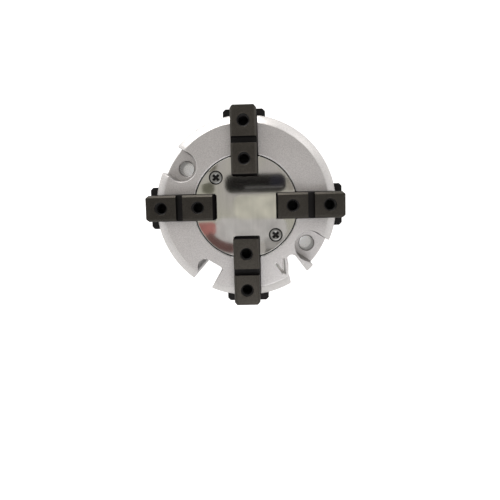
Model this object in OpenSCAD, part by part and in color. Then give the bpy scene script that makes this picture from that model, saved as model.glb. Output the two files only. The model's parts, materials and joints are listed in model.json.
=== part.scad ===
// Four jaw centric gripper: a pneumatic piston drives a wedge that moves four jaws together.
// Origin: centre of the base face. +Z is the gripper's axis and points from the base to the jaws.
// The jaws are drawn closed and the piston down; opening lifts the wedge and drives the jaws outwards.

/* [Housing] */
// Outside diameter of the housing
housing_d = 62; // [61:0.5:66]
// Cylinder bore
bore_d = 40; // [38:0.5:40.5]
// Chamfer round the jaw end of the housing
top_chamfer = 3; // [1:0.5:3.5]
// Chamfer round the base face
base_chamfer = 0.5; // [0.2:0.1:1]
// Wall between the cylinder and the wedge chamber
bulkhead_t = 8; // [7.5:0.5:12]

/* [Jaws] */
// Width of a jaw above its rails
jaw_w = 8.5; // [8:0.1:9]
// Length of a jaw along its slide
jaw_l = 21.8; // [21:0.1:24]
// Height of a jaw above the housing
jaw_rise = 8; // [6:0.5:12]
// Distance from the axis to a closed jaw's inner end
jaw_closed_r = 10.5; // [10:0.25:12]
// Travel of each jaw
jaw_travel = 4; // [3:0.5:4.5]
// Width across a jaw's guide rails
rail_w = 14.4; // [12.5:0.1:14.8]
// Thickness of the guide rails
rail_t = 4; // [3:0.25:5]
// Housing material over the guide rails
rail_lip = 4; // [3.5:0.25:5]
// How far the guide rails run past the jaw's outer end
rail_reach = 0.7; // [0.1:0.1:1.5]
// Chamfer along a jaw's two long top edges
jaw_edge = 0.8; // [0.2:0.1:1]
// Chamfer along the top edges at a jaw's two ends
jaw_end_edge = 0.2; // [0.1:0.05:0.6]
// Chamfer on a jaw's outer corners
jaw_corner = 0.9; // [0.5:0.1:2]
// Width of the key slot across a jaw
key_w = 2.1; // [1.5:0.1:3]
// Depth of the key slot
key_depth = 2.5; // [1:0.1:4]
// Distance between the two tool screws of a jaw
tool_screw_pitch = 12; // [10:0.5:13]
// Nominal thread of the tool screws
tool_screw_d = 4; // [3:0.5:5]
// Depth of the tool screw holes
tool_hole_depth = 9; // [6:0.5:10]

/* [Wedge drive] */
// Stroke of the piston and the wedge
piston_travel = 7; // [6:0.5:9]
// Height of the wedge
wedge_h = 11; // [10:0.5:14]
// Width of the wedge's four arms
wedge_arm_w = 6.2; // [5:0.1:7]
// Radius of the wedge's hub
wedge_hub_r = 7; // [6.5:0.1:7.5]
// Height over which wedge and jaw hold each other when closed
wedge_grip = 8.8; // [7:0.2:9.6]
// Width of the neck of a wedge rib
rib_neck_w = 3; // [2:0.1:4]
// Width of the flange of a wedge rib
rib_flange_w = 5.6; // [5:0.1:6]
// Thickness of the flange of a wedge rib
rib_flange_t = 2; // [1.5:0.1:2.5]
// Thickness of the jaw lips that the rib flange hooks behind
jaw_lip_t = 1.6; // [1.2:0.1:2]
// Wall of the jaw foot behind the rib
foot_back = 3; // [2:0.25:4]

/* [Piston] */
// Height of the piston
piston_t = 10; // [9.5:0.5:14]
// Radial gap between piston and bore
piston_gap = 0.2; // [0.15:0.05:0.3]
// Width of the piston seal's groove
seal_groove_w = 3; // [2.5:0.1:3.2]
// Depth of the piston seal's groove
seal_groove_depth = 3.3; // [2.8:0.1:4]
// Width of the wear ring and the magnet
band_w = 2; // [1.5:0.1:2.2]
// Depth of the wear ring's groove
wear_groove_depth = 1.6; // [1:0.1:2]
// Depth of the magnet's groove
magnet_groove_depth = 2.6; // [2:0.1:3.5]
// Diameter of the piston rod
rod_d = 12; // [11.5:0.1:12.5]
// Diameter of the rod's threaded tail
rod_tail_d = 8; // [7:0.5:8]
// Width across the flats of the rod nut
nut_af = 13; // [12:0.5:13.5]
// Height of the rod nut
nut_h = 4; // [3:0.25:4.5]
// Nominal thread of the wedge screw
wedge_screw_d = 6; // [5:0.5:6]
// Length of the wedge screw under its head
wedge_screw_l = 18; // [14:1:20]

/* [Bulkhead bearing and seal] */
// Wall of the rod bush
bush_wall = 1; // [0.8:0.1:1.5]
// Radial width of the rod seal
rod_seal_w = 2; // [1.6:0.1:2.5]
// Height of the rod seal
rod_seal_h = 3; // [2.5:0.1:3.4]
// Thickness of the washer that holds the rod seal
seal_washer_t = 0.8; // [0.6:0.1:1]

/* [End cap and stops] */
// Thickness of the end cap
cap_t = 5.2; // [4.5:0.1:8]
// Thickness of the retaining ring
ring_t = 1.75; // [1.5:0.05:2]
// Distance from the base face to the retaining ring
ring_inset = 1.25; // [1:0.05:2]
// Depth of the retaining ring's groove
ring_groove_depth = 1.25; // [1:0.05:1.3]
// Width of the end cap's O-ring groove
cap_groove_w = 2.4; // [2:0.1:2.8]
// Depth of the end cap's O-ring groove
cap_groove_depth = 1.6; // [1.4:0.1:2]
// Thickness of the two rubber stops
bumper_t = 1; // [0.8:0.1:2]
// Inner radius of the two rubber stops
bumper_r = 10; // [9:0.25:12]
// Radial width of the two rubber stops
bumper_w = 3.5; // [2.5:0.25:4]

/* [Centre plate] */
// Diameter of the centre plate
plate_d = 35; // [33.5:0.5:38]
// Thickness of the centre plate
plate_t = 2; // [1.8:0.1:3]
// Chamfer along the plate's edge and round its recess
plate_edge = 0.25; // [0.1:0.05:0.4]
// Pitch circle of the plate screws
plate_screw_pcd = 28; // [27:0.25:29]
// Nominal thread of the plate screws
plate_screw_d = 2; // [2:0.5:2.5]
// Head diameter of the plate screws
plate_screw_head_d = 4; // [3.6:0.1:4.6]
// Length of the plate screws
plate_screw_l = 6; // [5:0.5:8]

/* [Mounting] */
// Pitch circle of the two mounting holes
mount_pcd = 51; // [50:0.25:52]
// Diameter of the mounting holes
mount_hole_d = 5.3; // [5:0.1:5.8]
// Width of the pocket over each mounting hole
pocket_w = 10; // [8.5:0.1:10.4]
// Depth of the pockets below the jaw end
pocket_depth = 12; // [10:0.5:20]
// Diameter of the dowel holes in the base face
dowel_d = 4; // [3:0.5:5]
// Depth of the dowel holes
dowel_depth = 5; // [4:0.5:6]

/* [Sensor slots and air ports] */
// Width of the two sensor slots
slot_w = 7; // [6:0.25:7.5]
// Distance from the axis to the slots' flat floor
slot_floor = 22.3; // [22.1:0.1:24]
// Radius of the groove that a sensor clips into
sensor_r = 3.1; // [2.8:0.1:3.6]
// Depth of that groove in the side of its slot
sensor_groove_depth = 0.8; // [0.5:0.1:1]
// Nominal thread of the two air ports
port_d = 5; // [4:0.1:6]
// Depth of the air ports' thread
port_depth = 6; // [5:0.25:7]
// Diameter of the flat round each air port
port_flat_d = 8; // [7:0.5:9]
// Diameter of the passages from the ports to the cylinder
passage_d = 1.6; // [1:0.1:1.8]

/* [Fits] */
// Gap on each side of a sliding face
slide_gap = 0.05; // [0.03:0.01:0.08]
// Gap round a part that is fitted and doesn't move
seat_gap = 0.03; // [0.02:0.01:0.05]
// Gap at the end of a travel
stop_gap = 0.1; // [0.05:0.05:0.3]
// Gap between wedge ribs and jaw lips
rib_gap = 0.1; // [0.05:0.01:0.15]
// Gap round the jaws in the centre plate
plate_gap = 0.2; // [0.1:0.05:0.4]

/* [Hidden] */
$fn = 96;

// Directions, in degrees about the axis from +X
jaw_angles = [0, 90, 180, 270];
mount_angles = [-33, 147];
slot_angle = -121;
narrow_slot_angle = -54.6;
dowel_angles = [22, 202];
plate_screw_angles = [135, 315];
port_angle = 45;

overcut = 1;                 // how far a cutter runs past the face it opens
housing_r = housing_d / 2;
bore_r = bore_d / 2;

// Levels from the base face upwards
ring_z = ring_inset;
cap_z = ring_z + ring_t;
cap_top = cap_z + cap_t;
piston_z = cap_top + bumper_t + stop_gap;
piston_top = piston_z + piston_t;
bore_top = piston_top + piston_travel + stop_gap + bumper_t;
chamber_z = bore_top + bulkhead_t;
wedge_floor_gap = 0.4;
wedge_z = chamber_z + wedge_floor_gap;
wedge_top = wedge_z + wedge_h;
plate_z = wedge_top + piston_travel + 2 * stop_gap;
housing_h = plate_z + plate_t;
rail_top = housing_h - rail_lip;
rail_z = rail_top - rail_t;
jaw_top = housing_h + jaw_rise;

// Wedge: the sloping plane on which wedge and jaws meet, drawn in the plane of one jaw
wedge_angle = atan(jaw_travel / piston_travel);
foot_z = wedge_top - wedge_grip;
foot_top = plate_z - 2 * stop_gap;
foot_top_r = jaw_w / 2 + 0.6;
function flank_r(z) = foot_top_r + (foot_top - z) * tan(wedge_angle);
rib_depth = jaw_lip_t + rib_gap + rib_flange_t;      // from the jaw's sloping face to the flange's far side
slope_l = 2 * (foot_top - chamber_z);                // long enough to cross the whole chamber
foot_out_r = flank_r(foot_z) + (rib_depth + rib_gap) / cos(wedge_angle) + foot_back;
rib_out_r = flank_r(wedge_z) + rib_depth / cos(wedge_angle);
chamber_gap = 2.9;
chamber_r = wedge_hub_r + chamber_gap;
running_gap = 0.4;

// Piston and rod
piston_r = bore_r - piston_gap;
rod_r = rod_d / 2;
piston_land = (piston_t - seal_groove_w - 2 * band_w) / 4;
magnet_z = piston_z + piston_land;
seal_z = magnet_z + band_w + piston_land;
wear_z = seal_z + seal_groove_w + piston_land;
rod_seat_depth = 1.5;                                // how far the rod sits in the wedge
rod_top = wedge_z + rod_seat_depth;
nut_recess = nut_h + 1;
nut_r = nut_af / 2 / cos(30);
tail_o_ring_w = 1.6;
tail_o_ring_h = 1.2;

// Wedge screw: socket head screw of standard proportions
wedge_screw_head_r = 0.5 * 10 / 6 * wedge_screw_d;
wedge_screw_seat = wedge_top - wedge_screw_d - 0.5;

// Bulkhead
bush_r = rod_r + bush_wall;
rod_seal_r = rod_r + rod_seal_w;
seal_washer_r = rod_seal_r + 0.6;
seal_washer_z = bore_top;
rod_seal_z = seal_washer_z + seal_washer_t;
bush_z = rod_seal_z + rod_seal_h;

// Countersunk plate screws: cone, thin rim, and the gap round the head
head_sink = 0.15;
head_rim = 0.25;
head_gap = 0.3;
head_cone_h = (plate_screw_head_d - plate_screw_d) / 2;
head_cone_z = housing_h - head_sink - head_rim - head_cone_h;

// End cap
ring_body_w = 3.4;                                   // retaining ring, opposite its gap

// Sensor slots: corner radius at the floor, and where the sensor's groove lies
slot_corner = 1;
groove_start = 0.2;
groove_middle = 2.3;
scribe_w = 0.55;
scribe_depth = 2;

// Tool screw holes and air ports
tool_mouth_d = tool_screw_d + 0.4;
port_floor_r = housing_r - port_depth - 0.4;
upper_port_z = bore_top - passage_d / 2 - stop_gap;
lower_port_z = cap_top + passage_d / 2 + stop_gap;

module at_angles(angles) {
    for (a = angles) rotate([0, 0, a]) children();
}

// A ring, its radii given, standing on the level z
module ring(outer, inner, h, z) {
    translate([0, 0, z]) difference() {
        cylinder(r = outer, h = h);
        translate([0, 0, -overcut]) cylinder(r = inner, h = h + 2 * overcut);
    }
}

// A bar along +X from x0 to x1, centred on Y, between the levels z0 and z1
module bar(x0, x1, w, z0, z1) {
    translate([x0, -w / 2, z0]) cube([x1 - x0, w, z1 - z0]);
}

// A profile drawn in X and Z and given the width w along Y
module side_profile(w, points) {
    translate([0, w / 2, 0]) rotate([90, 0, 0]) linear_extrude(w) polygon(points);
}

// A bar along the wedge's slope, from depth x0 to x1 behind the jaw's sloping face
module slope_bar(x0, x1, w) {
    translate([foot_top_r, 0, foot_top]) rotate([0, -wedge_angle, 0])
        translate([x0, -w / 2, -slope_l / 2]) cube([x1 - x0, w, slope_l]);
}

// ---- Housing ----

module housing_blank() {
    rotate_extrude() polygon([
        [0, 0], [housing_r - base_chamfer, 0], [housing_r, base_chamfer],
        [housing_r, housing_h - top_chamfer], [housing_r - top_chamfer, housing_h], [0, housing_h]]);
}

module cylinder_bore() {
    translate([0, 0, -overcut]) cylinder(r = bore_r, h = bore_top + overcut);
    translate([0, 0, -overcut])
        cylinder(r1 = bore_r + 0.5 + overcut, r2 = bore_r, h = 0.5 + overcut);
    translate([0, 0, ring_z - seat_gap])
        cylinder(r = bore_r + ring_groove_depth, h = ring_t + 2 * seat_gap);
}

module bulkhead_bores() {
    translate([0, 0, bore_top - overcut]) cylinder(r = rod_r + running_gap, h = bulkhead_t + 2 * overcut);
    translate([0, 0, bush_z]) cylinder(r = bush_r, h = bulkhead_t + overcut);
    translate([0, 0, bore_top - overcut]) cylinder(r = rod_seal_r, h = bush_z - bore_top + overcut);
    translate([0, 0, bore_top - overcut]) cylinder(r = seal_washer_r, h = seal_washer_t + overcut);
}

// The T-slot of one jaw, the slot for its foot and the room for one wedge arm
module jaw_slot() {
    reach = housing_r + overcut;
    bar(0, reach, jaw_w + 2 * slide_gap, rail_z - overcut, housing_h + overcut);
    bar(0, reach, rail_w + 2 * slide_gap, rail_z - slide_gap, rail_top + slide_gap);
    bar(0, foot_out_r + jaw_travel + running_gap, jaw_w + 2 * slide_gap, foot_z - running_gap, rail_z);
    bar(0, rib_out_r + running_gap, jaw_w + 2 * slide_gap, chamber_z, rail_z);
}

module mount_pocket() {
    translate([mount_pcd / 2, 0, 0]) {
        translate([0, 0, -overcut]) cylinder(d = mount_hole_d, h = housing_h);
        translate([0, 0, housing_h - pocket_depth]) linear_extrude(pocket_depth + overcut) {
            circle(d = pocket_w);
            translate([0, -pocket_w / 2]) square([housing_r, pocket_w]);
        }
    }
}

// Radial slot down the whole side, with a groove for a round sensor in one wall
module sensor_slot() {
    half = slot_w / 2;
    translate([0, 0, -overcut]) linear_extrude(housing_h + 2 * overcut) {
        translate([slot_floor + slot_corner, -half]) square([housing_r, slot_w]);
        translate([slot_floor, slot_corner - half]) square([housing_r, slot_w - 2 * slot_corner]);
        for (side = [-1, 1])
            translate([slot_floor + slot_corner, side * (half - slot_corner)]) circle(r = slot_corner);
        intersection() {
            translate([slot_floor + groove_middle, sensor_r - sensor_groove_depth - half])
                circle(r = sensor_r);
            translate([slot_floor + groove_start, -slot_w]) square([slot_w, slot_w / 2 + groove_start]);
        }
    }
}

// The second slot: one wall leans, so that its floor is narrow, and two fine grooves run beside that wall
module narrow_slot() {
    half = slot_w / 2;
    out_r = housing_r + overcut;
    translate([0, 0, -overcut]) linear_extrude(housing_h + 2 * overcut) polygon([
        [slot_floor, 0.25 * half], [slot_floor + 2.1, 0], [slot_floor + 4.9, -0.56 * half],
        [housing_r, -half], [out_r, -1.1 * half], [out_r, half],
        [slot_floor + slot_corner, half], [slot_floor, half - slot_corner]]);
    fine_groove([slot_floor - 0.5, -0.95 * half], [slot_floor + 3.5, -0.95 * half]);
    fine_groove([slot_floor - 0.4, -0.16 * half], [slot_floor + 4, -0.92 * half]);
}

// A fine groove in the jaw end of the housing, from one point to another
module fine_groove(from, to) {
    along = to - from;
    translate([from[0], from[1], housing_h - scribe_depth]) rotate([0, 0, atan2(along[1], along[0])])
        translate([0, -scribe_w / 2, 0]) cube([norm(along), scribe_w, scribe_depth + overcut]);
}

module air_port(z) {
    translate([0, 0, z]) rotate([0, 90, 0]) {
        translate([0, 0, bore_r - overcut]) cylinder(d = passage_d, h = port_floor_r - bore_r + 2 * overcut);
        translate([0, 0, port_floor_r]) cylinder(d = port_d, h = housing_r);
        translate([0, 0, housing_r - 0.4]) cylinder(d = port_flat_d, h = housing_r);
    }
}

module housing() {
    color("silver") difference() {
        housing_blank();
        cylinder_bore();
        bulkhead_bores();
        translate([0, 0, chamber_z]) cylinder(r = chamber_r, h = plate_z - chamber_z + overcut);
        translate([0, 0, plate_z]) cylinder(d = plate_d + 2 * plate_gap, h = plate_t + overcut);
        translate([0, 0, housing_h - plate_edge])
            cylinder(r1 = plate_d / 2 + plate_gap, r2 = plate_d / 2 + plate_gap + plate_edge + overcut,
                     h = plate_edge + overcut);
        at_angles(jaw_angles) jaw_slot();
        at_angles(mount_angles) mount_pocket();
        at_angles([slot_angle]) sensor_slot();
        at_angles([narrow_slot_angle]) narrow_slot();
        at_angles([port_angle]) air_port(upper_port_z);
        at_angles([port_angle]) air_port(lower_port_z);
        at_angles(dowel_angles) translate([mount_pcd / 2, 0, -overcut])
            cylinder(d = dowel_d, h = dowel_depth + overcut);
        at_angles(plate_screw_angles) translate([plate_screw_pcd / 2, 0, plate_z - plate_screw_l])
            cylinder(d = plate_screw_d + 2 * seat_gap, h = plate_screw_l + overcut);
    }
}

// ---- Centre plate ----

module centre_plate() {
    color("gainsboro") difference() {
        union() {
            translate([0, 0, plate_z]) cylinder(d = plate_d, h = plate_t - plate_edge);
            translate([0, 0, housing_h - plate_edge])
                cylinder(d1 = plate_d, d2 = plate_d - 2 * plate_edge, h = plate_edge);
        }
        at_angles(jaw_angles)
            bar(jaw_closed_r - plate_gap, plate_d, jaw_w + 2 * plate_gap,
                plate_z - overcut, housing_h + overcut);
        at_angles(plate_screw_angles) translate([plate_screw_pcd / 2, 0, 0]) {
            translate([0, 0, plate_z - overcut])
                cylinder(d = plate_screw_d + 2 * plate_gap, h = plate_t + 2 * overcut);
            translate([0, 0, head_cone_z])
                cylinder(d1 = plate_screw_d, d2 = plate_screw_head_d, h = head_cone_h);
            translate([0, 0, head_cone_z + head_cone_h - head_gap])
                cylinder(d = plate_screw_head_d + 2 * head_gap, h = plate_t);
        }
    }
}

module plate_screw() {
    recess_l = 2.5;
    recess_w = 0.6;
    recess_depth = 0.9;
    difference() {
        union() {
            translate([0, 0, housing_h - plate_screw_l])
                cylinder(d = plate_screw_d, h = plate_screw_l - head_sink - head_rim);
            translate([0, 0, head_cone_z])
                cylinder(d1 = plate_screw_d, d2 = plate_screw_head_d, h = head_cone_h);
            translate([0, 0, head_cone_z + head_cone_h]) cylinder(d = plate_screw_head_d, h = head_rim);
        }
        for (a = [45, 135]) translate([0, 0, housing_h - head_sink - recess_depth]) rotate([0, 0, a])
            translate([-recess_l / 2, -recess_w / 2, 0]) cube([recess_l, recess_w, overcut]);
    }
}

module plate_screws() {
    color("lightgrey") at_angles(plate_screw_angles) translate([plate_screw_pcd / 2, 0, 0]) plate_screw();
}

// ---- Bulkhead parts ----

module rod_bush() {
    color("goldenrod") ring(bush_r - seat_gap, rod_r + slide_gap, chamber_z - bush_z, bush_z);
}

// U-cup seal with its lips towards the cylinder
module rod_seal() {
    in_r = rod_r + slide_gap;
    out_r = rod_seal_r - seat_gap;
    mid = (in_r + out_r) / 2;
    h = rod_seal_h - seat_gap;
    color("dimgray") translate([0, 0, rod_seal_z]) rotate_extrude() polygon([
        [in_r, 0], [in_r + 0.35, 0], [mid, 0.5 * h], [out_r - 0.35, 0],
        [out_r, 0], [out_r, h], [in_r, h]]);
}

module seal_washer() {
    color("silver")
        ring(seal_washer_r - seat_gap, rod_r + running_gap, seal_washer_t - seat_gap, seal_washer_z);
}

module upper_stop() {
    color("orange") ring(bumper_r + bumper_w, bumper_r, bumper_t, bore_top - bumper_t);
}

// ---- End cap ----

module lower_stop() {
    color("orange") ring(bumper_r + bumper_w, bumper_r, bumper_t, cap_top);
}

module end_cap() {
    cap_r = bore_r - seat_gap;
    groove_z = cap_z + (cap_t - cap_groove_w) / 2;
    dish_r = 0.7 * cap_r;
    color("silver") difference() {
        translate([0, 0, cap_z]) rotate_extrude() polygon([
            [0, 0], [cap_r - 0.4, 0], [cap_r, 0.4], [cap_r, cap_t - 0.4], [cap_r - 0.4, cap_t], [0, cap_t]]);
        ring(cap_r + overcut, cap_r - cap_groove_depth, cap_groove_w, groove_z);
        translate([0, 0, cap_z - overcut]) cylinder(r = dish_r, h = 0.5 + overcut);
        translate([0, 0, cap_z - overcut]) cylinder(d = tool_screw_d, h = cap_t - 1.5 + overcut);
    }
}

// A rubber ring squeezed between two radii, its corners bevelled
module squeezed_ring(inner, outer, h, z) {
    bevel = 0.3 * min(outer - inner, h);
    translate([0, 0, z]) rotate_extrude() polygon([
        [inner + bevel, 0], [outer - bevel, 0], [outer, bevel], [outer, h - bevel],
        [outer - bevel, h], [inner + bevel, h], [inner, h - bevel], [inner, bevel]]);
}

module cap_o_ring() {
    w = cap_groove_w - 0.4;
    color("dimgray") squeezed_ring(bore_r - cap_groove_depth, bore_r - seat_gap, w, cap_z + (cap_t - w) / 2);
}

// Internal retaining ring: deepest opposite its gap, with two eyes for the pliers
module retaining_ring() {
    outer = bore_r + ring_groove_depth - seat_gap;
    gap_w = 0.45 * bore_r;
    eye_r = 2.2;
    eye_x = bore_r - eye_r - 0.5;
    eye_a = asin((gap_w / 2 + eye_r) / eye_x);
    color("darkgray") translate([0, 0, ring_z]) linear_extrude(ring_t) difference() {
        union() {
            difference() {
                circle(r = outer);
                translate([0.7, 0]) circle(r = outer - ring_body_w);
                translate([0, -gap_w / 2]) square([2 * outer, gap_w]);
            }
            for (side = [-1, 1]) rotate(side * eye_a) translate([eye_x, 0]) circle(r = eye_r);
        }
        for (side = [-1, 1]) rotate(side * eye_a) translate([eye_x, 0]) circle(r = 1);
    }
}

// ---- Piston and rod ----

module piston() {
    color("silver") difference() {
        translate([0, 0, piston_z]) rotate_extrude() polygon([
            [0, 0], [piston_r - 0.4, 0], [piston_r, 0.4],
            [piston_r, piston_t - 0.4], [piston_r - 0.4, piston_t], [0, piston_t]]);
        ring(piston_r + overcut, piston_r - seal_groove_depth, seal_groove_w, seal_z);
        ring(piston_r + overcut, piston_r - wear_groove_depth, band_w, wear_z);
        ring(piston_r + overcut, piston_r - magnet_groove_depth, band_w, magnet_z);
        translate([0, 0, piston_z - overcut]) cylinder(r = nut_r + 0.5, h = nut_recess + overcut);
        translate([0, 0, piston_z - overcut])
            cylinder(r = rod_tail_d / 2 + seat_gap, h = piston_t + 2 * overcut);
        translate([0, 0, piston_top - tail_o_ring_h])
            cylinder(r = rod_tail_d / 2 + tail_o_ring_w + seat_gap, h = tail_o_ring_h + overcut);
    }
}

// Double-lip seal: a heel in the groove and two lips on the bore
module piston_seal() {
    in_r = piston_r - seal_groove_depth + seat_gap;
    out_r = bore_r - slide_gap;
    h = seal_groove_w - 2 * seat_gap;
    color("dimgray") translate([0, 0, seal_z + seat_gap]) rotate_extrude() polygon([
        [in_r, 0], [piston_r - 1.2, 0], [out_r, 0.15 * h], [out_r, 0.3 * h], [piston_r - 0.5, 0.5 * h],
        [out_r, 0.7 * h], [out_r, 0.85 * h], [piston_r - 1.2, h], [in_r, h]]);
}

module wear_ring() {
    color("ivory") difference() {
        ring(bore_r - slide_gap, piston_r - wear_groove_depth + seat_gap,
             band_w - 2 * seat_gap, wear_z + seat_gap);
        rotate([0, 0, -20]) bar(0, housing_r, 0.8, wear_z - overcut, wear_z + band_w + overcut);
    }
}

module magnet_ring() {
    color("dimgray") ring(piston_r - seat_gap, piston_r - magnet_groove_depth + seat_gap,
                          band_w - 2 * seat_gap, magnet_z + seat_gap);
}

module piston_rod() {
    tail_z = piston_z + nut_recess - nut_h - 0.5;
    color("lightsteelblue") difference() {
        union() {
            translate([0, 0, piston_top]) cylinder(r = rod_r, h = rod_top - piston_top);
            translate([0, 0, tail_z]) cylinder(d = rod_tail_d, h = piston_top - tail_z + overcut);
        }
        translate([0, 0, wedge_screw_seat - wedge_screw_l - 2])
            cylinder(d = wedge_screw_d + 2 * seat_gap, h = housing_h);
    }
}

module rod_o_ring() {
    color("dimgray") squeezed_ring(rod_tail_d / 2 + seat_gap, rod_tail_d / 2 + tail_o_ring_w,
                                   tail_o_ring_h - seat_gap, piston_top - tail_o_ring_h);
}

module rod_nut() {
    color("lightgrey") difference() {
        translate([0, 0, piston_z + nut_recess - nut_h]) cylinder(r = nut_r, h = nut_h, $fn = 6);
        translate([0, 0, piston_z - overcut]) cylinder(d = rod_tail_d + 2 * seat_gap, h = piston_t);
    }
}

// ---- Wedge ----

module wedge_arm() {
    face = rib_gap / cos(wedge_angle);
    side_profile(wedge_arm_w, [
        [0, wedge_z], [flank_r(wedge_z) - face, wedge_z],
        [flank_r(wedge_top) - face, wedge_top], [0, wedge_top]]);
    intersection() {
        union() {
            slope_bar(-3 * rib_gap, jaw_lip_t + 2 * rib_gap, rib_neck_w);
            slope_bar(jaw_lip_t + rib_gap, rib_depth, rib_flange_w);
        }
        bar(0, housing_r, jaw_w, wedge_z, wedge_top);
    }
}

module wedge() {
    color("slategray") difference() {
        union() {
            translate([0, 0, wedge_z]) cylinder(r = wedge_hub_r, h = wedge_h);
            at_angles(jaw_angles) wedge_arm();
        }
        translate([0, 0, wedge_z - overcut]) cylinder(r = rod_r + seat_gap, h = rod_seat_depth + overcut);
        translate([0, 0, wedge_z - overcut]) cylinder(d = wedge_screw_d + 0.4, h = wedge_h + 2 * overcut);
        translate([0, 0, wedge_screw_seat]) cylinder(r = wedge_screw_head_r + 0.25, h = wedge_h);
    }
}

module wedge_screw() {
    key_r = wedge_screw_d * 5 / 6 / 2 / cos(30);
    color("dimgray") difference() {
        union() {
            translate([0, 0, wedge_screw_seat]) cylinder(r = wedge_screw_head_r, h = wedge_screw_d);
            translate([0, 0, wedge_screw_seat - wedge_screw_l])
                cylinder(d = wedge_screw_d, h = wedge_screw_l + overcut);
        }
        translate([0, 0, wedge_screw_seat + wedge_screw_d / 2])
            cylinder(r = key_r, h = wedge_screw_d, $fn = 6);
    }
}

// ---- Jaws ----

// Block above the housing, neck and rails, with the corners at the outer end cut off
module jaw_block() {
    out_r = jaw_closed_r + jaw_l;
    intersection() {
        side_profile(jaw_w, [
            [jaw_closed_r, rail_z], [out_r, rail_z],
            [out_r, jaw_top - jaw_end_edge], [out_r - jaw_end_edge, jaw_top],
            [jaw_closed_r + jaw_end_edge, jaw_top], [jaw_closed_r, jaw_top - jaw_end_edge]]);
        translate([jaw_closed_r, 0, 0]) rotate([90, 0, 90]) linear_extrude(jaw_l) polygon([
            [-jaw_w / 2, rail_z], [jaw_w / 2, rail_z], [jaw_w / 2, jaw_top - jaw_edge],
            [jaw_w / 2 - jaw_edge, jaw_top], [jaw_edge - jaw_w / 2, jaw_top],
            [-jaw_w / 2, jaw_top - jaw_edge]]);
        linear_extrude(jaw_top) jaw_outline(jaw_w, out_r);
    }
    translate([0, 0, rail_z]) linear_extrude(rail_t) jaw_outline(rail_w, out_r + rail_reach);
}

module jaw_outline(w, out_r) {
    polygon([[jaw_closed_r, -w / 2], [out_r - jaw_corner, -w / 2], [out_r, jaw_corner - w / 2],
             [out_r, w / 2 - jaw_corner], [out_r - jaw_corner, w / 2], [jaw_closed_r, w / 2]]);
}

// Foot under the centre plate, with the sloping T-slot that hooks over a wedge rib
module jaw_foot() {
    difference() {
        side_profile(jaw_w, [
            [flank_r(foot_top), foot_top], [flank_r(foot_z), foot_z], [foot_out_r, foot_z],
            [foot_out_r, rail_z], [foot_out_r, foot_top]]);
        slope_bar(-overcut, jaw_lip_t + rib_gap, rib_neck_w + 2 * rib_gap);
        slope_bar(jaw_lip_t, rib_depth + rib_gap, rib_flange_w + 2 * rib_gap);
    }
}

module jaw() {
    middle = jaw_closed_r + jaw_l / 2;
    difference() {
        union() {
            jaw_block();
            jaw_foot();
        }
        slope_cut();
        bar(middle - key_w / 2, middle + key_w / 2, rail_w, jaw_top - key_depth, jaw_top + overcut);
        for (side = [-1, 1]) translate([middle + side * tool_screw_pitch / 2, 0, 0]) {
            translate([0, 0, jaw_top - tool_hole_depth])
                cylinder(d = tool_screw_d, h = tool_hole_depth + overcut);
            translate([0, 0, jaw_top - (tool_mouth_d - tool_screw_d) / 2])
                cylinder(d1 = tool_screw_d, d2 = tool_mouth_d + 2 * overcut,
                         h = (tool_mouth_d - tool_screw_d) / 2 + overcut);
        }
    }
}

// The rib's slot where it runs on into the block and the rails
module slope_cut() {
    intersection() {
        slope_bar(jaw_lip_t, rib_depth + rib_gap, rib_flange_w + 2 * rib_gap);
        bar(0, housing_r, rail_w, 0, foot_top);
    }
}

module jaw_at(i) {
    color("#3a3835") rotate([0, 0, jaw_angles[i]]) jaw();
}

housing();
centre_plate();
plate_screws();
rod_bush();
rod_seal();
seal_washer();
upper_stop();
lower_stop();
end_cap();
cap_o_ring();
retaining_ring();
piston();
piston_seal();
wear_ring();
magnet_ring();
piston_rod();
rod_o_ring();
rod_nut();
wedge();
wedge_screw();
jaw_at(0);  // jaw_1
jaw_at(1);  // jaw_2
jaw_at(2);  // jaw_3
jaw_at(3);  // jaw_4
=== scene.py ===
"""Looks of a four jaw centric gripper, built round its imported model.

Everything is in metres, in the model's own frame: origin at the centre of the base face, +Z to the jaws.
"""

import json
import math

import bpy
from mathutils import Matrix, Vector


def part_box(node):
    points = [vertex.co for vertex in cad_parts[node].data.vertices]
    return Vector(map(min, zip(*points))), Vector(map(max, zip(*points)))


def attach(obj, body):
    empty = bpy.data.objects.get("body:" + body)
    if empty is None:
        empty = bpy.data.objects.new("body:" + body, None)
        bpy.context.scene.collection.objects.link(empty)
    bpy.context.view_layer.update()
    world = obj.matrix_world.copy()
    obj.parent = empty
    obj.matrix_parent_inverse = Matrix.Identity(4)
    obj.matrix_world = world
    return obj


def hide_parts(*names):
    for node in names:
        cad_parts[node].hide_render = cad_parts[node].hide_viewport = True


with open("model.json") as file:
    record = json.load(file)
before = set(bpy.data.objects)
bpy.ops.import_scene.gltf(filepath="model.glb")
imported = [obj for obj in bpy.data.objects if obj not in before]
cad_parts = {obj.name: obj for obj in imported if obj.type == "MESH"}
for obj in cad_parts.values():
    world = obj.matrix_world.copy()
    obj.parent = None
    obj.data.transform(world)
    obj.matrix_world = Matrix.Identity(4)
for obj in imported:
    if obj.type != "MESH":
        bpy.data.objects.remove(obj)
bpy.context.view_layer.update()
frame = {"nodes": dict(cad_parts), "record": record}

MM = 0.001
JAWS = (1, 2, 3, 4)
MERGE_DISTANCE = 0.001 * MM
FINE_MERGE_DISTANCE = 0.0001 * MM

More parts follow.
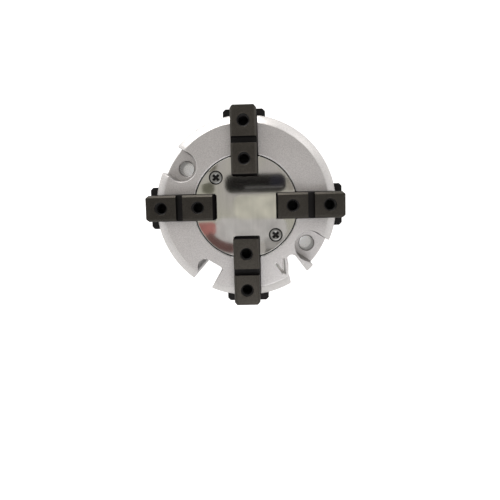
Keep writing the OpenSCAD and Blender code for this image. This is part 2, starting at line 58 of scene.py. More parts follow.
# Places, read from the model
HOUSING_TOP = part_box("housing")[1].z
JAW_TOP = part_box("jaw_1")[1].z
CAP_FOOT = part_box("end_cap")[0].z
SCREW_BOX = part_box("plate_screws")
SCREW_TOP = SCREW_BOX[1].z
SCREW_FOOT = SCREW_BOX[0].z
PLATE_POINTS = frame["nodes"]["centre_plate"].data.vertices
PLATE_RADIUS = max(Vector(vertex.co).xy.length for vertex in PLATE_POINTS)
MOUNTS = {mount["name"]: mount for mount in frame["record"]["mounts"]}
MOUNT_HOLES = MOUNTS["mounting_holes"]["dims"]
MOUNT_HOLE_RADIUS = MOUNT_HOLES["hole_r_mm"] * MM
MOUNT_HOLE_REACH = MOUNT_HOLES["pcd_mm"] / 2 * MM
MOUNT_HOLE_TURN = math.radians(-33)
MOUNT_HOLE_AT = Vector((math.cos(MOUNT_HOLE_TURN), math.sin(MOUNT_HOLE_TURN), 0)) * MOUNT_HOLE_REACH

# Where the finish changes, and where light and shade are painted, on the housing, the plate, the screws and
# the jaws
POCKET_DEPTH = 12 * MM
BORE_SHADE_MIDDLE = HOUSING_TOP - POCKET_DEPTH - 11 * MM
BORE_SHADE_LENGTH = 7 * MM
BORE_SKIN = 0.05 * MM
BORE_FADE = 0.1 * MM
GROOVES_MIDDLE = (12.3 * MM, -21.0 * MM, HOUSING_TOP)
GROOVES_REACH = 3.5 * MM
GROOVES_TOP = HOUSING_TOP - 0.06 * MM
SEAT_CHAMFER_WIDTH = 0.45 * MM
SEAT_CHAMFER_RADIUS = PLATE_RADIUS + SEAT_CHAMFER_WIDTH
SEAT_CHAMFER_FOOT = HOUSING_TOP - 0.5 * MM
CUT_FADE = 0.02 * MM
PLATE_FACE_FOOT = HOUSING_TOP - 0.2 * MM
SCREW_FACE_FOOT = SCREW_TOP - 0.09 * MM
JAW_FACE_FOOT = JAW_TOP - 0.95 * MM
JAW_INNER_END_FACING = -0.8

# Colours, some of them painted light and shade, and how strongly the jaws' black sides mirror the room
WHITE = (1, 1, 1)
BODY_COLOUR = (0.69, 0.67, 0.66)
# painted highlight on the chamfer round the plate's seat
SEAT_CHAMFER_HIGHLIGHT_COLOUR = (0.97, 0.96, 0.95)
# painted light that lifts the shade inside the fine grooves
GROOVE_PAINTED_LIGHT_COLOUR = (0.96, 0.95, 0.94)
# painted light towards the open foot of the mounting holes, and painted shade at their mouths
BORE_FOOT_PAINTED_LIGHT = (0.9, 0.88, 0.85)
BORE_PAINTED_LIGHT = (0.84, 0.82, 0.78)
BORE_MOUTH_PAINTED_SHADE = (0.19, 0.18, 0.17)
JAW_TOP_COLOUR = (0.072, 0.066, 0.057)
# painted shade on the jaws' sides and grooves
JAW_SIDE_SHADE_COLOUR = (0.013, 0.012, 0.012)
JAW_SHEEN = 0.14
PLATE_COLOUR = (0.68, 0.67, 0.63)
# painted shade on the plate's edge and in its screw holes
PLATE_EDGE_SHADE_COLOUR = (0.16, 0.16, 0.155)
PLATE_HOLE_SHADE_COLOUR = (0.03, 0.03, 0.03)
SCREW_DARK_COLOUR = (0.26, 0.26, 0.25)
SCREW_PALE_COLOUR = (0.36, 0.36, 0.34)
# painted shade inside the screws' recess and below their heads
RECESS_SHADE_COLOUR = (0.025, 0.025, 0.024)

# Edges that a maker breaks with a file or a brush
HOUSING_EDGE = 0.3 * MM
PLATE_EDGE = 0.06 * MM
JAW_EDGE = 0.1 * MM
FLAT_ANGLE = math.radians(0.4)
SHARP_ANGLE = math.radians(33)
SMOOTH_ANGLE = math.radians(32)

# Countersunk cross-recess screws of the centre plate
SCREW_RADIUS = 1.0 * MM
SCREW_HEAD_RADIUS = 2.0 * MM
SCREW_HEAD_HEIGHT = 1.25 * MM
SCREW_RIM = 0.15 * MM
SCREW_CROWN = 0.1 * MM
SCREW_CROWN_TAPER = 0.89
SCREW_EDGE = 0.04 * MM
SCREW_SHARP_ANGLE = math.radians(40)
SCREW_SIDES = 64
RECESS_LENGTH = 2.8 * MM
RECESS_WIDTH = 0.95 * MM
RECESS_DEPTH = 1.1 * MM
RECESS_OVERCUT = 0.2 * MM
RECESS_TAPER = 0.75
RECESS_TURNS = (math.radians(45), math.radians(135))

# Threads: radius of the hole, pitch, height of the ridge, turns, and how deep below the mouth they start;
# then the ridge's foot as a share of the pitch, its crest as a share of the foot, and how far it is sunk
TOOL_THREAD = {"radius": 2.0 * MM, "pitch": 0.7 * MM, "ridge": 0.36 * MM, "turns": 11, "start": 0.45 * MM}
PORT_THREAD = {"radius": 2.5 * MM, "pitch": 0.8 * MM, "ridge": 0.42 * MM, "turns": 6, "start": 0.3 * MM}
CAP_THREAD = {"radius": 2.0 * MM, "pitch": 0.7 * MM, "ridge": 0.36 * MM, "turns": 4, "start": 0.2 * MM}
THREAD_FOOT_SHARE = 0.86
THREAD_CREST_SHARE = 0.22
THREAD_ROOT = 0.02 * MM
THREAD_STEPS = 36
TOOL_HOLE_HALF_PITCH = 6 * MM
CAP_DISH_DEPTH = 0.5 * MM

# Camera, from the centre of the housing's top face
CAMERA_OFFSET = Vector((4.83, 1.87, 164.5)) * MM
CAMERA_TILT = (5.84, -1.18, 1.43)
CAMERA_LENS = 34.85
CAMERA_SENSOR = 36
CAMERA_CLIP_START = 0.01

# Room and floor: the room's tones by height, and the stretch of X over which its dark wall fades
ROOM_STRENGTH = 0.9
ROOM_TONES = [(0.0, (0.8, 0.8, 0.8)), (0.15, (0.95, 0.95, 0.95)), (0.6, (0.69, 0.68, 0.67)),
              (1.0, (0.58, 0.56, 0.54))]
WALL_FADE = (-1, -0.86)
FLOOR_SIZE = 6
FLOOR_LEVEL = -0.2 * MM
FLOOR_LIFT = 0.75
FLOOR_GLOSS = 0.65

# Lamps: name, place, size, watts, colour
LAMPS = [
    ("top_lamp", (0.09, -0.31, 0.6), 0.36, 0.78, (0.95, 0.96, 1.0)),
    ("left_lamp", (-0.355, 0.575, 0.12), 0.36, 1.7, (1.0, 0.99, 0.97)),
    ("right_lamp", (0.45, 0.5, 0.11), 0.24, 0.28, (1.0, 0.99, 0.98)),
    ("side_lamp", (-0.38, -0.22, 0.4), 0.26, 0.22, (1.0, 0.99, 0.97)),
    ("back_lamp", (-0.02, 0.7, 0.12), 0.2, 1.3, (1.0, 0.97, 0.93)),
]

# Cards at the camera's height, for the polished plate to mirror. In millimetres: the middle in X and Y
# and the drop below that height, then the width and length, then the corners' radius; last, the colour
CARD_LEVEL = HOUSING_TOP + CAMERA_OFFSET.z
CARD_CORNER_STEPS = 8
CARD_CURVE_STEPS = 16
ROUNDED_CARDS = [
    ("dark_card", (2.0, 13.5, 0), (41.3, 12.8), 5, (0.014, 0.013, 0.014)),
    ("blue_card", (17.0, 15.0, 1), (11.0, 8.0), 3.5, (0.03, 0.03, 0.045)),
    ("pale_line", (7.6, 10.7, 2), (26.0, 0.9), 0.3, (0.3, 0.3, 0.31)),
    # painted reflections: patches and a speck that only the polished plate mirrors
    ("reflected_patch_1", (-30.0, 11.0, 0), (8.5, 8.0), 3, (0.24, 0.24, 0.19)),
    ("reflected_patch_2", (-28.0, 25.5, 0), (9.0, 7.5), 3, (0.28, 0.265, 0.225)),
    ("reflected_patch_3", (26.2, 12.6, 0), (6.0, 11.0), 2.8, (0.58, 0.55, 0.51)),
    ("reflected_patch_4", (12.5, -29.0, 1), (15.0, 11.0), 4, (0.60, 0.59, 0.60)),
    ("reflected_speck", (9.0, -33.5, 2), (10.0, 4.0), 1.5, (0.22, 0.215, 0.21)),
    ("cream_card", (3.0, -2.4, 0), (32.0, 16.2), 5, (0.98, 0.97, 0.88)),
    ("cool_card", (-2.0, -18.0, -1), (49.0, 17.0), 6, (0.93, 0.92, 0.95)),
    ("warm_card", (-33.0, -16.5, 0), (15.0, 9.0), 3, (0.62, 0.25, 0.24)),
]
BROWN_CARD_MIDDLE = (-11.8 * MM, -4.9 * MM, CARD_LEVEL - 0.5 * MM)
BROWN_CARD_RADIUS = 25.4 * MM
BROWN_CARD_WIDTH = 6.8 * MM
BROWN_CARD_START = math.radians(268)
BROWN_CARD_SWEEP = math.radians(50)
BROWN_CARD_COLOUR = (0.20, 0.10, 0.095)


# ---- Bench tools ----

def only(piece):
    """Selects one piece and nothing else."""
    bpy.ops.object.select_all(action="DESELECT")
    piece.select_set(True)
    bpy.context.view_layer.objects.active = piece


def start_edit(piece):
    only(piece)
    bpy.ops.object.mode_set(mode="EDIT")
    bpy.ops.mesh.select_all(action="SELECT")


def end_edit():
    bpy.ops.object.mode_set(mode="OBJECT")


def pick(piece, kind, test):
    """Opens a piece for editing, with only those of its faces or points selected that pass a test."""
    start_edit(piece)
    bpy.ops.mesh.select_mode(type=kind)
    bpy.ops.mesh.select_all(action="DESELECT")
    end_edit()
    choices = piece.data.polygons if kind == "FACE" else piece.data.vertices
    for choice in choices:
        choice.select = test(choice)
    bpy.ops.object.mode_set(mode="EDIT")


def settle(piece):
    """Puts a piece's place, turn and size into its mesh."""
    only(piece)
    bpy.ops.object.transform_apply(location=True, rotation=True, scale=True)


def added(name):
    """Names the primitive that was just added."""
    piece = bpy.context.active_object
    piece.name = name
    piece.data.name = name
    return piece


def apply_modifier(piece, kind, **settings):
    only(piece)
    modifier = piece.modifiers.new(kind.lower(), kind)
    for key, value in settings.items():
        setattr(modifier, key, value)
    bpy.ops.object.modifier_apply(modifier=modifier.name)


def smooth(piece):
    only(piece)
    bpy.ops.object.shade_smooth_by_angle(angle=SMOOTH_ANGLE)


def face_outwards(piece):
    start_edit(piece)
    bpy.ops.mesh.remove_doubles(threshold=FINE_MERGE_DISTANCE)
    bpy.ops.mesh.normals_make_consistent(inside=False)
    end_edit()


def broken_edges(node, name, body, width):
    """A copy of a model piece whose sharp edges are broken, as they are on the real one."""
    piece = bpy.data.objects.new(name, frame["nodes"][node].data.copy())
    piece.data.name = name
    bpy.context.scene.collection.objects.link(piece)
    start_edit(piece)
    bpy.ops.mesh.remove_doubles(threshold=MERGE_DISTANCE)
    bpy.ops.mesh.dissolve_limited(angle_limit=FLAT_ANGLE)
    end_edit()
    apply_modifier(piece, "BEVEL", width=width, segments=1, limit_method="ANGLE",
                   angle_limit=SHARP_ANGLE, use_clamp_overlap=False)
    smooth(piece)
    apply_modifier(piece, "WEIGHTED_NORMAL", mode="FACE_AREA", weight=100, keep_sharp=True)
    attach(piece, body)
    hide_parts(node)
    return piece


# ---- Numbers and colours of the finishes ----

def finish(name, metallic=0.0, roughness=0.5, colour=(0.5, 0.5, 0.5)):
    """A new material, with its shader and a place to add nodes."""
    made = bpy.data.materials.new(name)
    made.use_nodes = True
    tree = made.node_tree
    shader = tree.nodes["Principled BSDF"]
    shader.inputs["Metallic"].default_value = metallic
    shader.inputs["Roughness"].default_value = roughness
    shader.inputs["Base Color"].default_value = (*colour, 1)
    return made, tree, shader


def feed(tree, socket, value):
    """Links a value to a socket, or sets it there where it is a constant."""
    if isinstance(value, bpy.types.NodeSocket):
        tree.links.new(value, socket)
    elif socket.type == "RGBA":
        socket.default_value = (*value, 1)
    else:
        socket.default_value = value


def maths(tree, operation, *values, clamp=False):
    node = tree.nodes.new("ShaderNodeMath")
    node.operation = operation
    node.use_clamp = clamp
    for socket, value in zip(node.inputs, values):
        feed(tree, socket, value)
    return node.outputs[0]


def vector_maths(tree, operation, *values, gives="Vector"):
    node = tree.nodes.new("ShaderNodeVectorMath")
    node.operation = operation
    for socket, value in zip(node.inputs, values):
        feed(tree, socket, value)
    return node.outputs[gives]


def rescaled(tree, value, start, end, low=0.0, high=1.0):
    """Brings a value that runs from start to end to between low and high, and holds it there."""
    node = tree.nodes.new("ShaderNodeMapRange")
    node.inputs["From Min"].default_value = start
    node.inputs["From Max"].default_value = end
    node.inputs["To Min"].default_value = low
    node.inputs["To Max"].default_value = high
    tree.links.new(value, node.inputs["Value"])
    return node.outputs["Result"]


def spread(tree, pattern, low, high):
    """The middle tones of a pattern brought between two numbers."""
    return rescaled(tree, pattern, 0.3, 0.7, low, high)


def ramp(tree, value, stops):
    """Colours along a value: stops are (position, colour)."""
    node = tree.nodes.new("ShaderNodeValToRGB")
    elements = node.color_ramp.elements
    while len(elements) < len(stops):
        elements.new(0.5)
    for element, (position, colour) in zip(elements, stops):
        element.position = position
        element.color = (*colour, 1)
    tree.links.new(value, node.inputs["Fac"])
    return node.outputs["Color"]


def blend_colours(tree, share, first, second, kind="MIX"):
    node = tree.nodes.new("ShaderNodeMix")
    node.data_type = "RGBA"
    node.blend_type = kind
    feed(tree, node.inputs["Factor"], share)
    feed(tree, node.inputs[6], first)
    feed(tree, node.inputs[7], second)
    return node.outputs[2]


def times(tree, first, second):
    return blend_colours(tree, 1.0, first, second, "MULTIPLY")


def scaled(colour, factor):
    return tuple(channel * factor for channel in colour)


def tinted(tree, pattern, colour, darker, paler, start=0.3, end=0.7):
    """A colour that follows a pattern: darker where the pattern is low, and paler where it is high."""
    return ramp(tree, pattern, [(start, scaled(colour, darker)), (end, scaled(colour, paler))])


def relief(tree, shader, height, strength, depth):
    bump = tree.nodes.new("ShaderNodeBump")
    bump.inputs["Strength"].default_value = strength
    bump.inputs["Distance"].default_value = depth
    tree.links.new(height, bump.inputs["Height"])
    tree.links.new(bump.outputs["Normal"], shader.inputs["Normal"])


# ---- Patterns, and places on a piece ----

def place(tree, stretch=(1, 1, 1)):
    """A point on the piece, stretched where a pattern runs one way."""
    where = tree.nodes.new("ShaderNodeTexCoord").outputs["Object"]
    if stretch == (1, 1, 1):
        return where
    mapping = tree.nodes.new("ShaderNodeMapping")
    mapping.inputs["Scale"].default_value = stretch
    tree.links.new(where, mapping.inputs["Vector"])
    return mapping.outputs["Vector"]


def facing(tree):
    return tree.nodes.new("ShaderNodeTexCoord").outputs["Normal"]


def axes(tree, vector):
    node = tree.nodes.new("ShaderNodeSeparateXYZ")
    tree.links.new(vector, node.inputs[0])
    return node.outputs


def sideways(tree, where):
    """A point's place in X and Y alone."""
    return vector_maths(tree, "MULTIPLY", where, (1, 1, 0))


def noise(tree, where, scale, detail=3, rough=0.55):
    node = tree.nodes.new("ShaderNodeTexNoise")
    node.inputs["Scale"].default_value = scale
    node.inputs["Detail"].default_value = detail
    node.inputs["Roughness"].default_value = rough
    tree.links.new(where, node.inputs["Vector"])
    return node.outputs["Fac"]


def rings(tree, where, pitch):
    """Fine turning marks round the gripper's axis."""
    node = tree.nodes.new("ShaderNodeTexWave")
    node.wave_type = "RINGS"
    node.rings_direction = "Z"
    node.inputs["Scale"].default_value = 0.31 / pitch
    node.inputs["Distortion"].default_value = 0.6
    node.inputs["Detail"].default_value = 2
    node.inputs["Detail Scale"].default_value = 1.5
    tree.links.new(where, node.inputs["Vector"])
    return node.outputs["Fac"]


def height_over(tree, where, level, soft):
    """0 below a level, 1 above it."""
    return rescaled(tree, axes(tree, where)["Z"], level - soft / 2, level + soft / 2)


def facing_up(tree, start, end):
    """0 on upright walls and 1 on faces that look along the axis."""
    return rescaled(tree, maths(tree, "ABSOLUTE", axes(tree, facing(tree))["Z"]), start, end)


def facing_middle(tree, where):
    """1 on faces that look at the gripper's axis, and 0 elsewhere."""
    outwards = vector_maths(tree, "NORMALIZE", sideways(tree, where))
    along = vector_maths(tree, "DOT_PRODUCT", outwards, facing(tree), gives="Value")
    return maths(tree, "LESS_THAN", along, JAW_INNER_END_FACING)


def near_mount_holes(tree, where):
    """1 within the drilled mounting holes and 0 away from them."""
    edge = MOUNT_HOLE_RADIUS + BORE_SKIN
    shares = []
    for side in (1, -1):
        away = vector_maths(tree, "DISTANCE", sideways(tree, where), MOUNT_HOLE_AT * side, gives="Value")
        shares.append(rescaled(tree, away, edge + BORE_FADE, edge))
    return maths(tree, "MAXIMUM", *shares)


def in_grooves(tree, where):
    """1 in the two fine grooves beside the narrow slot, below the top face, and 0 elsewhere; there the
    grooves get painted light that lifts their shade.
    """
    away = vector_maths(tree, "DISTANCE", where, GROOVES_MIDDLE, gives="Value")
    near = maths(tree, "LESS_THAN", away, GROOVES_REACH)
    return maths(tree, "SUBTRACT", near, height_over(tree, where, GROOVES_TOP, CUT_FADE), clamp=True)


def on_seat_chamfer(tree, where):
    """1 on the chamfer round the plate's seat, which gets a painted highlight, and 0 elsewhere."""
    reach = vector_maths(tree, "LENGTH", sideways(tree, where), gives="Value")
    near = maths(tree, "LESS_THAN", reach, SEAT_CHAMFER_RADIUS)
    return maths(tree, "MULTIPLY", near, height_over(tree, where, SEAT_CHAMFER_FOOT, CUT_FADE))


# ---- Finishes ----

def grained_metal(name, colour, grain, roughness, metallic=1.0):
    """Satin metal: an even grain, with faint clouds in its colour and its shine."""
    made, tree, shader = finish(name, metallic, roughness, colour)
    where = place(tree)
    clouds = noise(tree, where, 55, 4)
    grains = noise(tree, where, grain, 2, 0.7)
    mottled = tinted(tree, clouds, colour, 0.95, 1.05, 0.32, 0.68)
    speckled = tinted(tree, grains, WHITE, 0.9, 1, 0.35, 0.65)
    tree.links.new(times(tree, mottled, speckled), shader.inputs["Base Color"])
    tree.links.new(spread(tree, clouds, roughness - 0.05, roughness + 0.05), shader.inputs["Roughness"])
    relief(tree, shader, grains, 0.3, 0.02 * MM)
    return made


def turned_metal(name, colour, pitch, roughness, depth=0.01 * MM):
    """Metal off the lathe: fine rings about the axis."""
    made, tree, shader = finish(name, 1.0, roughness, colour)
    where = place(tree)
    marks = rings(tree, where, pitch)
    clouds = noise(tree, where, 120, 4)
    tone = tinted(tree, marks, colour, 0.9, 1.05, 0, 1)
    shade = tinted(tree, clouds, WHITE, 0.93, 1)
    tree.links.new(times(tree, tone, shade), shader.inputs["Base Color"])
    tree.links.new(spread(tree, clouds, roughness - 0.05, roughness + 0.06), shader.inputs["Roughness"])
    relief(tree, shader, marks, 0.25, depth)
    return made


def brushed_metal(name, colour, roughness, stretch):
    """Metal with fine lines that all run one way."""
    made, tree, shader = finish(name, 1.0, roughness, colour)
    lines = noise(tree, place(tree, stretch), 900, 3, 0.6)
    clouds = noise(tree, place(tree), 70, 4)
    tone = tinted(tree, lines, colour, 0.94, 1.06)
    shade = tinted(tree, clouds, WHITE, 0.94, 1)
    tree.links.new(times(tree, tone, shade), shader.inputs["Base Color"])
    tree.links.new(spread(tree, lines, roughness * 0.8, roughness * 1.25), shader.inputs["Roughness"])
    relief(tree, shader, lines, 0.12, 0.003 * MM)
    return made


def rubber(name, colour, roughness=0.6):
    """Moulded rubber or plastic: dull, with a fine even skin and a little dust."""
    made, tree, shader = finish(name, 0.0, roughness, colour)
    where = place(tree)
    skin = noise(tree, where, 4000, 2)
    dust = noise(tree, where, 300, 4)
    tone = tinted(tree, dust, colour, 1, 1.6, 0.35, 0.75)
    tree.links.new(tone, shader.inputs["Base Color"])
    tree.links.new(spread(tree, dust, roughness - 0.08, roughness + 0.1), shader.inputs["Roughness"])
    relief(tree, shader, skin, 0.3, 0.02 * MM)
    return made


def sintered_bronze():
    """Pressed bronze grains with open, darker pores."""
    colour = (0.55, 0.38, 0.18)
    made, tree, shader = finish("sintered_bronze", 1.0, 0.48, colour)
    pores = noise(tree, place(tree), 3500, 3, 0.7)
    tone = ramp(tree, pores, [(0.36, scaled(colour, 0.45)), (0.5, colour), (0.7, scaled(colour, 1.1))])
    tree.links.new(tone, shader.inputs["Base Color"])
    relief(tree, shader, pores, 0.5, 0.03 * MM)
    return made


def polished_steel():
    """Polished stainless sheet, nearly a mirror: hair lines, with painted shade on its edge and in its
    screw holes.
    """
    made, tree, shader = finish("polished_steel", 1.0, 0.055)
    where = place(tree)
    lines = noise(tree, place(tree, (1, 0.05, 1)), 900, 3, 0.6)
    clouds = noise(tree, where, 70, 4)
    tone = tinted(tree, lines, PLATE_COLOUR, 0.95, 1.04)
    shade = tinted(tree, clouds, WHITE, 0.94, 1)
    # Painted shade on the edge faces and below the top face
    sheet = blend_colours(tree, facing_up(tree, 0.8, 0.95), PLATE_EDGE_SHADE_COLOUR, times(tree, tone, shade))
    face = height_over(tree, where, PLATE_FACE_FOOT, 0.03 * MM)
    tree.links.new(blend_colours(tree, face, PLATE_HOLE_SHADE_COLOUR, sheet), shader.inputs["Base Color"])
    tree.links.new(spread(tree, clouds, 0.045, 0.07), shader.inputs["Roughness"])
    relief(tree, shader, lines, 0.1, 0.0005 * MM)
    return made


def plate_screw_steel():
    """Zinc-coated screw steel, faintly clouded, with painted shade inside the recess and below the head."""
    made, tree, shader = finish("plate_screw_steel", 1.0, 0.34)
    where = place(tree)
    clouds = noise(tree, where, 900, 4)
    head = ramp(tree, clouds, [(0.3, SCREW_DARK_COLOUR), (0.7, SCREW_PALE_COLOUR)])
    face = height_over(tree, where, SCREW_FACE_FOOT, 0.04 * MM)
    tree.links.new(blend_colours(tree, face, RECESS_SHADE_COLOUR, head), shader.inputs["Base Color"])
    tree.links.new(spread(tree, clouds, 0.3, 0.42), shader.inputs["Roughness"])
    relief(tree, shader, clouds, 0.2, 0.02 * MM)
    return made


def black_steel(name, tone=1.0):
    """Blackened steel: a satin top, painted shade that makes the sides and grooves nearly black, and dull
    inner ends.
    """
    made, tree, shader = finish(name, 0.85, 0.36)
    where = place(tree)
    clouds = noise(tree, where, 90, 4)
    grains = noise(tree, where, 3600, 2, 0.7)
    top = tinted(tree, clouds, scaled(JAW_TOP_COLOUR, tone), 0.9, 1.1)
    # Painted shade on the sides; the top face keeps the lit colour
    side = tinted(tree, clouds, JAW_SIDE_SHADE_COLOUR, 0.85, 1.2)
    high = height_over(tree, where, JAW_FACE_FOOT, 0.15 * MM)
    lit_top = maths(tree, "MULTIPLY", high, facing_up(tree, 0.3, 0.5))
    speckled = tinted(tree, grains, WHITE, 0.74, 1.06, 0.35, 0.65)
    toned = times(tree, blend_colours(tree, lit_top, side, top), speckled)
    sheen = rescaled(tree, facing_middle(tree, where), 0, 1, JAW_SHEEN, 0)
    tree.links.new(toned, shader.inputs["Base Color"])
    tree.links.new(maths(tree, "MULTIPLY", lit_top, 0.85), shader.inputs["Metallic"])
    tree.links.new(sheen, shader.inputs["Specular IOR Level"])
    tree.links.new(spread(tree, clouds, 0.32, 0.42), shader.inputs["Roughness"])
    relief(tree, shader, grains, 0.3, 0.02 * MM)
    return made


def mount_hole_painted_light_and_shade(tree, where):
    """The drilled bore's colour: bright with painted light, uneven, and with painted shade towards its
    mouth.
    """
    drill_marks = noise(tree, place(tree, (1, 1, 2.5)), 500, 3)
    tone = ramp(tree, height_over(tree, where, BORE_SHADE_MIDDLE, BORE_SHADE_LENGTH),
                [(0.0, BORE_FOOT_PAINTED_LIGHT), (0.5, BORE_PAINTED_LIGHT), (1.0, BORE_MOUTH_PAINTED_SHADE)])
    return times(tree, tone, tinted(tree, drill_marks, WHITE, 0.8, 1, 0.4, 0.6))


def blasted_aluminium():
    """Blasted and clear anodised aluminium, with painted shade on its milled walls, painted light in its
    fine grooves, a painted highlight on the plate seat's chamfer, and painted light and shade in the
    mounting-hole bores.
    """
    made, tree, shader = finish("bead_blasted_aluminium", 1.0, 0.42)
    where = place(tree)
    clouds = noise(tree, where, 55, 4)
    grains = noise(tree, where, 3200, 2, 0.7)
    mottled = tinted(tree, clouds, BODY_COLOUR, 0.96, 1.04, 0.32, 0.68)
    speckled = tinted(tree, grains, WHITE, 0.76, 1, 0.35, 0.65)
    # Painted shade: upright walls darker than faces that look along the axis
    walls = tinted(tree, facing_up(tree, 0.2, 0.5), WHITE, 0.72, 1, 0, 1)
    toned = times(tree, times(tree, mottled, speckled), walls)
    # Painted light in the fine grooves, against their shade
    toned = blend_colours(tree, in_grooves(tree, where), toned, GROOVE_PAINTED_LIGHT_COLOUR)
    # Painted highlight on the seat chamfer
    toned = blend_colours(tree, on_seat_chamfer(tree, where), toned, SEAT_CHAMFER_HIGHLIGHT_COLOUR)
    drilled = near_mount_holes(tree, where)
    # Painted light and shade in the mounting-hole bores
    toned = blend_colours(tree, drilled, toned, mount_hole_painted_light_and_shade(tree, where))
    tree.links.new(toned, shader.inputs["Base Color"])
    tree.links.new(rescaled(tree, drilled, 0, 1, 0.42, 0.22), shader.inputs["Roughness"])
    relief(tree, shader, grains, 0.3, 0.02 * MM)
    return made


FINISHES = {
    "bead_blasted_aluminium": blasted_aluminium(),
    "polished_steel": polished_steel(),
    "screw_steel": turned_metal("screw_steel", (0.42, 0.42, 0.42), 0.12 * MM, 0.36),
    "sintered_bronze": sintered_bronze(),
    "black_rubber": rubber("black_rubber", (0.022, 0.022, 0.022)),
    "stop_rubber": rubber("stop_rubber", (0.55, 0.22, 0.06), 0.5),
    "turned_aluminium": turned_metal("turned_aluminium", (0.66, 0.66, 0.66), 0.35 * MM, 0.3),
    "spring_steel": grained_metal("spring_steel", (0.12, 0.11, 0.10), 5000, 0.4),
    "white_plastic": rubber("white_plastic", (0.55, 0.53, 0.46), 0.42),
    "magnet": rubber("magnet", (0.05, 0.045, 0.04), 0.55),
    "ground_steel": turned_metal("ground_steel", (0.70, 0.70, 0.71), 0.1 * MM, 0.12, 0.003 * MM),
    "hardened_steel": brushed_metal("hardened_steel", (0.33, 0.32, 0.31), 0.3, (0.06, 1, 1)),
    "black_screw_steel": grained_metal("black_screw_steel", (0.045, 0.045, 0.045), 4500, 0.38, 0.7),
    "black_steel": black_steel("black_steel"),
}


def dress(piece, slot_name, look=None):
    """Gives a piece the finish of one of the record's material slots."""
    piece.data.materials.clear()
    piece.data.materials.append(look or FINISHES[slot_name])


# ---- Screws of the centre plate ----

def cross_recess_cutter(centre):
    """Two crossed blades that narrow towards their tip."""
    middle = (centre.x, centre.y, SCREW_TOP + (RECESS_OVERCUT - RECESS_DEPTH) / 2)
    tip = (centre.x, centre.y, SCREW_TOP - RECESS_DEPTH)
    blades = []
    for turn in RECESS_TURNS:
        bpy.ops.mesh.primitive_cube_add(size=1, location=middle)
        blade = added("recess_blade")
        blade.scale = (RECESS_LENGTH, RECESS_WIDTH, RECESS_DEPTH + RECESS_OVERCUT)
        blade.rotation_euler = (0, 0, turn)
        settle(blade)
        pick(blade, "FACE", lambda face: face.normal.z < -0.9)
        bpy.ops.transform.resize(value=(RECESS_TAPER, RECESS_TAPER, 1), center_override=tip)
        end_edit()
        blades.append(blade)
    apply_modifier(blades[0], "BOOLEAN", operation="UNION", object=blades[1], solver="EXACT")
    bpy.data.objects.remove(blades[1])
    return blades[0]


def plate_screw(name, centre, look):
    """A countersunk screw with a cross recess: shank, cone, thin rim and a slightly crowned head."""
    shank_top = SCREW_TOP - SCREW_HEAD_HEIGHT
    depth = shank_top - SCREW_FOOT
    bpy.ops.mesh.primitive_cylinder_add(vertices=SCREW_SIDES, radius=SCREW_RADIUS, depth=depth,
                                        location=(centre.x, centre.y, SCREW_FOOT + depth / 2))
    screw = added(name)
    settle(screw)
    pick(screw, "FACE", lambda face: face.normal.z > 0.9)
    cone = (SCREW_HEAD_HEIGHT - SCREW_RIM - SCREW_CROWN, SCREW_HEAD_RADIUS / SCREW_RADIUS)
    rim = (SCREW_RIM, 1)
    crown = (SCREW_CROWN, SCREW_CROWN_TAPER)
    for rise, widen in (cone, rim, crown):
        bpy.ops.mesh.extrude_region_move(TRANSFORM_OT_translate={"value": (0, 0, rise)})
        bpy.ops.transform.resize(value=(widen, widen, 1), center_override=(centre.x, centre.y, shank_top))
    end_edit()
    cutter = cross_recess_cutter(centre)
    apply_modifier(screw, "BOOLEAN", operation="DIFFERENCE", object=cutter, solver="EXACT")
    bpy.data.objects.remove(cutter)
    apply_modifier(screw, "BEVEL", width=SCREW_EDGE, segments=2, limit_method="ANGLE",
                   angle_limit=SCREW_SHARP_ANGLE, use_clamp_overlap=False)
    face_outwards(screw)
    smooth(screw)
    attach(screw, "body")
    dress(screw, "screw_steel", look)
    return screw


# ---- Threads ----

def thread(name, body, slot_name, mouth, axis, size, look=None):
    """The ridge of a female thread: a trapezoid wound down the hole from its mouth."""
    radius, pitch, ridge = size["radius"], size["pitch"], size["ridge"]
    bpy.ops.mesh.primitive_plane_add(size=1, location=(0, 0, 0))
    wire = added(name)
    wire.scale = (ridge, pitch * THREAD_FOOT_SHARE, 1)
    wire.rotation_euler = (math.radians(90), 0, 0)
    wire.location = (radius - ridge / 2 + THREAD_ROOT, 0, 0)
    settle(wire)
    pick(wire, "VERT", lambda point: point.co.x < radius - ridge / 2)
    bpy.ops.transform.resize(value=(1, 1, THREAD_CREST_SHARE), center_override=(radius, 0, 0))
    bpy.ops.mesh.select_all(action="SELECT")
    bpy.ops.mesh.delete(type="ONLY_FACE")
    end_edit()
    apply_modifier(wire, "SCREW", axis="Z", angle=math.tau, screw_offset=pitch, iterations=size["turns"],
                   steps=THREAD_STEPS, render_steps=THREAD_STEPS, use_merge_vertices=False)
    start_edit(wire)
    bpy.ops.mesh.select_all(action="DESELECT")
    bpy.ops.mesh.select_mode(type="EDGE")
    bpy.ops.mesh.select_non_manifold()
    bpy.ops.mesh.fill_holes(sides=4)
    end_edit()
    face_outwards(wire)
    down = Vector(axis).normalized() * -1
    turn = Vector((0, 0, -1)).rotation_difference(down).to_matrix().to_4x4()
    drop = Matrix.Translation((0, 0, -pitch * size["turns"]))
    wire.matrix_world = Matrix.Translation(Vector(mouth) + down * size["start"]) @ turn @ drop
    settle(wire)
    smooth(wire)
    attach(wire, body)
    dress(wire, slot_name, look)


# ---- Dressing the model ----

SLOT_OF = {part["node"]: part["material_slot"] for part in frame["record"]["subparts"]}
for node_name, node in frame["nodes"].items():
    dress(node, SLOT_OF[node_name])

dress(broken_edges("housing", "housing_shell", "body", HOUSING_EDGE), SLOT_OF["housing"])
dress(broken_edges("centre_plate", "centre_cover", "body", PLATE_EDGE), SLOT_OF["centre_plate"])

